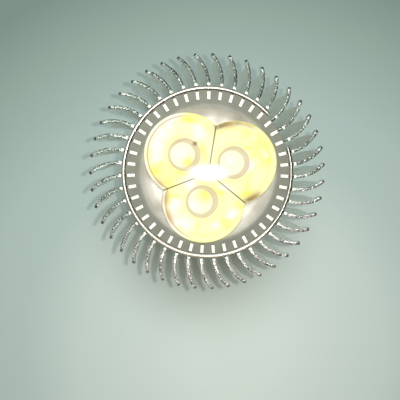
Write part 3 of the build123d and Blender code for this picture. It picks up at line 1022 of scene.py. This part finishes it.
# The broad glow: yellow patches and rings on a pale ground, then the brightest patches.
yellow = spots(streaked, (-4.3, 13.6, 1.9), (-12.8, 0.4, 2.6), (-9.9, -1.3, 2.4), (-15.5, 4.6, 1.3),
               (-1.2, 4.8, 1.4), (-7.2, -0.4, 1.6), (13.3, 6.0, 3.2), (14.6, 3.0, 1.6), (9.4, 9.4, 1.3),
               (10.4, -4.6, 2.2), (3.0, -4.9, 1.4), (-3.2, -13.8, 1.2), (4.8, -12.4, 1.5),
               (8.3, -8.5, 1.4), (-9.0, -6.6, 1.3))
rings = band(nearest, *INNER_RING).math("MAXIMUM", band(nearest, *OUTER_RING))
colour = (yellow * (0.25 + swirl * 0.65) + rings * swirl * 0.6).math("MINIMUM", 1.0).blend(PALE, RICH)
bright = spots(streaked, (-12.2, 10.2, 2.6), (-13.5, 4.6, 2.2), (-12.6, 7.6, 2.2), (-9.6, 12.2, 2.0),
               (-2.2, 9.8, 1.9), (11.1, 1.9, 1.4), (10.4, 4.6, 1.1), (15.0, 4.2, 0.6), (4.4, -3.7, 1.3),
               (-8.4, -8.4, 1.5), (-7.7, -12.0, 2.2), (-6.2, -13.6, 1.7), (1.7, -13.4, 1.0),
               (6.3, -10.5, 0.8), (-4.1, -2.9, 1.6))
colour = (bright * 0.95).blend(colour, WHITE)

# The shoulder and the rim, where the metal beside the lens shows through as amber and brown: painted
# reflection and painted shade, with a painted white glint along the left rim.
shoulder = nearest.ramp(*SHOULDER_FADE)
left_rim = along(place, "X").ramp(-3.0, -9.0)
rim = band(nearest, *RIM_BAND)
metal_shows = spots(place, (5.0, 12.4, 2.4), (11.6, -6.2, 2.0), (-13.0, -3.2, 1.8), (-10.9, -6.4, 1.8),
                    (-10.2, -11.0, 2.2))
colour = (metal_shows * shoulder * 0.7).blend(colour, AMBER)
colour = (nearest.ramp(*RIM_FADE) * (1 - left_rim) * 0.5).blend(colour, RICH)
dark_rim = spots(place, (3.1, 11.6, 1.6), (10.6, -6.9, 1.5))
colour = (dark_rim * rim * 0.8).blend(colour, BROWN)
shaded_rim = spots(place, (5.0, 12.3, 1.7), (7.4, 12.8, 1.5), (12.4, -6.3, 1.2))
colour = (shaded_rim * rim * 0.5).blend(colour, BROWN)
warm_rim = spots(place, (10.0, 11.9, 1.9))
colour = (warm_rim * rim * 0.55).blend(colour, AMBER)
colour = (band(nearest, *RIM_LINE) * (0.06 + 0.94 * left_rim) * 0.85).blend(colour, AMBER)
colour = (band(nearest, *RIM_GLINT) * left_rim * 0.8).blend(colour, WHITE)

# The domes, the wells round them, the partings between the lobes and the white middle: painted shade in tan
# and brown round the wells, in the partings and in one mark beside a dome, painted yellow and white
# highlights on the domes, and a painted white glare in the middle.
colour = dome_edge.ramp(*DOME_FADE).blend(colour, CREAM)
yellow_domes = spots(place, (-5.1, 2.7, 1.4), (-0.9, -5.6, 1.9))
colour = (yellow_domes * 0.9).blend(colour, RICH)
white_domes = spots(place, (-7.2, 4.9, 1.6), (-3.4, -8.4, 1.4), (5.4, 3.2, 1.0))
colour = (white_domes * 0.8).blend(colour, WHITE)
well_ring = well_edge.ramp(*WELL_FADE) * dome_edge.ramp(*AROUND_DOME)
colour = (well_ring * (0.44 + swirl * 0.55)).blend(colour, TAN)
well_shade_mark = spots(place, (-3.4, 7.4, 0.55)) * dome_edge.ramp(3.0, 3.3)
colour = well_shade_mark.blend(colour, BROWN)
colour = (band(well_edge, *WELL_LINE) * 0.5).blend(colour, AMBER)
parting = (next_nearest - nearest).ramp(*PARTING_FADE)
colour = (parting * 0.9).blend(colour, BROWN)
middle_patch = away_from(stretched(place, 0.4, 1.0, 1.0), 0.1, 0.1).ramp(*MIDDLE_FADE)
colour = middle_patch.blend(colour, WHITE)
unlit_flank = along(place, "Z").ramp(PLATE_TOP + 0.5, PLATE_TOP - 0.1) * nearest.ramp(4.3, 4.9)
close_finish(place, {
    "Base Color": (0.05, 0.048, 0.03, 1.0),
    "Roughness": 0.3 + swirl * 0.06,
    "IOR": 1.49,
    "Specular IOR Level": 0.06,
    "Emission Color": unlit_flank.blend(colour, UNLIT),
    "Emission Strength": 0.97,
})
lens.data.materials.append(glow)
seat(lens, "lens_acrylic", "trefoil_lens")


# Floor, light and camera. A pale grey-green sheet under the pins with a painted falloff of light, a soft lamp
# high above and a little behind, a small one beside the camera, a dim warm dome, and the camera near the
# axis, looking down.
FLOOR_SIZE = 3.0
FLOOR_GAP = 0.02
FLOOR_REACH = 260
FLOOR_MIDDLE = (14.0, -71.0)
# Painted light on the floor: lighter round the middle spot, darker in a ring further out, then pale again far
# off.
FLOOR_TONES = (
    (16, (214, 225, 219)), (59, (197, 211, 206)), (80, (178, 196, 191)), (98, (173, 191, 187)),
    (128, (150, 169, 162)), (149, (128, 147, 142)), (170, (128, 147, 142)), (240, (208, 220, 215)),
)
DOME_LOW = shown(196, 208, 202)
DOME_HIGH = (0.226, 0.192, 0.152, 1)
RIGHT = Vector((cos(radians(VIEW_TURN)), sin(radians(VIEW_TURN)), 0))
UP = Vector((-sin(radians(VIEW_TURN)), cos(radians(VIEW_TURN)), 0))
FACE = Vector((0, 0, FIN_FRONT * MM))
KEY_LEAN = (-0.04, 0.33)
KEY_DISTANCE = 1.2
KEY_SIZE = 0.55
KEY_WATTS = 9.5
KEY_COLOUR = (0.934, 0.985, 1.0)
FRONT_BESIDE = (6.5, 1.5)
FRONT_SIZE = 0.002
FRONT_WATTS = 0.115
FRONT_COLOUR = (1.0, 0.99, 0.94)
CAMERA_LENS = 53.1
CAMERA_ABOVE = 150
CAMERA_BESIDE = (-9.2, 3.6)
AIM_BESIDE = (-2.1, -6.9)


def across_view(right, up):
    """A step to the right and up in the picture."""
    return RIGHT * right + UP * up


camera_spot = FACE + Vector((0, 0, CAMERA_ABOVE * MM)) + across_view(*CAMERA_BESIDE) * MM
camera_aim = FACE + across_view(*AIM_BESIDE) * MM
front_spot = camera_spot + across_view(*FRONT_BESIDE) * MM
key_way = (Vector((0, 0, 1)) + across_view(*KEY_LEAN)).normalized()

bpy.ops.object.select_all(action="DESELECT")
bpy.ops.mesh.primitive_plane_add(size=FLOOR_SIZE, location=(0, 0, cad_box[0].z - FLOOR_GAP * MM))
floor = bpy.context.object
floor.name = "floor_sheet"
bpy.ops.object.transform_apply(location=True)
paper, place = new_finish("pale_floor", turn_by=-VIEW_TURN)
fall_off = away_from(place, *FLOOR_MIDDLE) / FLOOR_REACH
stops = [(distance / FLOOR_REACH, shown(*tone)) for distance, tone in FLOOR_TONES]
close_finish(place, {
    "Base Color": fall_off.node("ValToRGB", {"stops": stops}, {"Fac": fall_off}),
    "Roughness": 0.9,
    "Specular IOR Level": 0.1,
})
floor.data.materials.append(paper)


def hang_lamp(name, spot, size, energy, colour):
    """A round lamp that faces the bulb's front."""
    data = bpy.data.lights.new(name, "AREA")
    data.shape = "DISK"
    data.size = size
    data.energy = energy
    data.color = colour
    lamp = bpy.data.objects.new(name, data)
    bpy.context.scene.collection.objects.link(lamp)
    lamp.location = spot
    lamp.rotation_euler = (FACE - spot).to_track_quat("-Z", "Y").to_euler()


hang_lamp("soft_key", FACE + key_way * KEY_DISTANCE, KEY_SIZE, KEY_WATTS, KEY_COLOUR)
hang_lamp("front_lamp", front_spot, FRONT_SIZE, FRONT_WATTS, FRONT_COLOUR)

world = bpy.data.worlds.new("soft_dome")
bpy.context.scene.world = world
world.use_nodes = True
world.node_tree.nodes.clear()
aim = Field(world.node_tree).node("TexCoord", output="Generated")
sky = along(aim, "Z").ramp(0.1, 0.5).blend(DOME_LOW, DOME_HIGH)
background = sky.node("Background", None, {"Color": sky, "Strength": 1.0})
sky.node("OutputWorld", None, {"Surface": background})

camera_data = bpy.data.cameras.new("camera")
camera_data.lens = CAMERA_LENS
camera_data.sensor_width = 36.0
camera_data.clip_start = 0.01
camera = bpy.data.objects.new("camera", camera_data)
bpy.context.scene.collection.objects.link(camera)
camera.location = camera_spot
forward = (camera_aim - camera_spot).normalized()
side_on = forward.cross(UP).normalized()
upright = side_on.cross(forward)
camera.rotation_euler = Matrix((side_on, upright, -forward)).transposed().to_euler()
bpy.context.scene.camera = camera
bpy.context.scene.view_settings.view_transform = "Standard"
